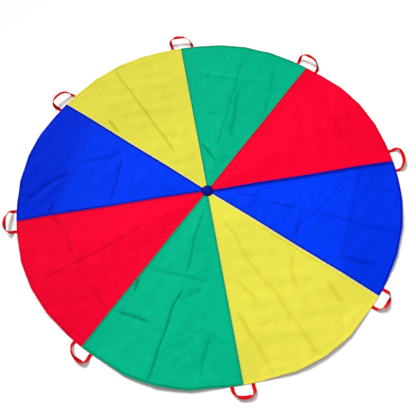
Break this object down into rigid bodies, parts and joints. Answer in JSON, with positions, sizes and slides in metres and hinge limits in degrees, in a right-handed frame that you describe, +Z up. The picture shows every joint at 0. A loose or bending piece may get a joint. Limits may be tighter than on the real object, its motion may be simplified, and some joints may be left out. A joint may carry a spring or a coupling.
{
  "type": "play parachute",
  "caption": "Round play parachute of sewn wedge panels in four bright colours, with a navy centre cap and red webbing hand loops round the rim, laid out flat with soft packing folds.",
  "frame": {"origin": "middle of the cap's underside, on the floor that the canopy is laid out on", "axes": "+Z up; +X along the first seam, between a blue and a red panel, with handle_1 at its end"},
  "size_m": [1.9116, 1.9126, 0.0403],
  "materials": {
    "red_cloth": "smooth polyester taffeta, soft sheen",
    "green_cloth": "smooth polyester taffeta, soft sheen",
    "yellow_cloth": "smooth polyester taffeta, soft sheen",
    "blue_cloth": "smooth polyester taffeta, soft sheen",
    "navy_cloth": "matt woven polyester",
    "navy_thread": "matt sewing thread",
    "red_webbing": "matt woven webbing",
    "tack_thread": "matt sewing thread"
  },
  "bodies": {
    "canopy": {"gore_red_1": "red_cloth", "gore_green_1": "green_cloth", "gore_yellow_1": "yellow_cloth", "gore_blue_1": "blue_cloth", "gore_red_2": "red_cloth", "gore_green_2": "green_cloth", "gore_yellow_2": "yellow_cloth", "gore_blue_2": "blue_cloth", "seam_1": "red_cloth", "seam_2": "green_cloth", "seam_3": "yellow_cloth", "seam_4": "blue_cloth", "seam_5": "red_cloth", "seam_6": "green_cloth", "seam_7": "yellow_cloth", "seam_8": "blue_cloth", "handle_1_tab_a": "red_webbing", "handle_1_tab_b": "red_webbing", "handle_2_tab_a": "red_webbing", "handle_2_tab_b": "red_webbing", "handle_3_tab_a": "red_webbing", "handle_3_tab_b": "red_webbing", "handle_4_tab_a": "red_webbing", "handle_4_tab_b": "red_webbing", "handle_5_tab_a": "red_webbing", "handle_5_tab_b": "red_webbing", "handle_6_tab_a": "red_webbing", "handle_6_tab_b": "red_webbing", "handle_7_tab_a": "red_webbing", "handle_7_tab_b": "red_webbing", "handle_8_tab_a": "red_webbing", "handle_8_tab_b": "red_webbing", "handle_1_tack_a": "tack_thread", "handle_1_tack_b": "tack_thread", "handle_2_tack_a": "tack_thread", "handle_2_tack_b": "tack_thread", "handle_3_tack_a": "tack_thread", "handle_3_tack_b": "tack_thread", "handle_4_tack_a": "tack_thread", "handle_4_tack_b": "tack_thread", "handle_5_tack_a": "tack_thread", "handle_5_tack_b": "tack_thread", "handle_6_tack_a": "tack_thread", "handle_6_tack_b": "tack_thread", "handle_7_tack_a": "tack_thread", "handle_7_tack_b": "tack_thread", "handle_8_tack_a": "tack_thread", "handle_8_tack_b": "tack_thread"},
    "hub": {"cap_top": "navy_cloth", "cap_underside": "navy_cloth", "cap_thread": "navy_thread"},
    "handle_1": {"handle_1_loop": "red_webbing"},
    "handle_2": {"handle_2_loop": "red_webbing"},
    "handle_3": {"handle_3_loop": "red_webbing"},
    "handle_4": {"handle_4_loop": "red_webbing"},
    "handle_5": {"handle_5_loop": "red_webbing"},
    "handle_6": {"handle_6_loop": "red_webbing"},
    "handle_7": {"handle_7_loop": "red_webbing"},
    "handle_8": {"handle_8_loop": "red_webbing"}
  },
  "joints": [
    {"name": "canopy_lift", "type": "slide", "parent": "canopy", "child": "hub", "axis": [0, 0, 1], "range_m": [0, 0.3], "deforming": ["gore_red_1", "gore_green_1", "gore_yellow_1", "gore_blue_1", "gore_red_2", "gore_green_2", "gore_yellow_2", "gore_blue_2", "seam_1", "seam_2", "seam_3", "seam_4", "seam_5", "seam_6", "seam_7", "seam_8"]},
    {"name": "handle_1_flip", "type": "hinge", "parent": "canopy", "child": "handle_1", "pos_m": [0.903, 0, 0.0008], "axis": [0, -1, 0], "range_deg": [0, 105]},
    {"name": "handle_2_flip", "type": "hinge", "parent": "canopy", "child": "handle_2", "pos_m": [0.63852, 0.63852, 0.0008], "axis": [0.7071, -0.7071, 0], "range_deg": [0, 105]},
    {"name": "handle_3_flip", "type": "hinge", "parent": "canopy", "child": "handle_3", "pos_m": [0.006, 0.903, 0.0008], "axis": [1, 0, 0], "range_deg": [0, 105]},
    {"name": "handle_4_flip", "type": "hinge", "parent": "canopy", "child": "handle_4", "pos_m": [-0.63428, 0.64276, 0.0008], "axis": [0.7071, 0.7071, 0], "range_deg": [0, 105]},
    {"name": "handle_5_flip", "type": "hinge", "parent": "canopy", "child": "handle_5", "pos_m": [-0.903, 0.003, 0.0008], "axis": [0, 1, 0], "range_deg": [0, 105]},
    {"name": "handle_6_flip", "type": "hinge", "parent": "canopy", "child": "handle_6", "pos_m": [-0.63569, -0.64135, 0.0008], "axis": [-0.7071, 0.7071, 0], "range_deg": [0, 105]},
    {"name": "handle_7_flip", "type": "hinge", "parent": "canopy", "child": "handle_7", "pos_m": [-0.005, -0.903, 0.0008], "axis": [-1, 0, 0], "range_deg": [0, 105]},
    {"name": "handle_8_flip", "type": "hinge", "parent": "canopy", "child": "handle_8", "pos_m": [0.63286, -0.64417, 0.0008], "axis": [-0.7071, -0.7071, 0], "range_deg": [0, 105]}
  ]
}
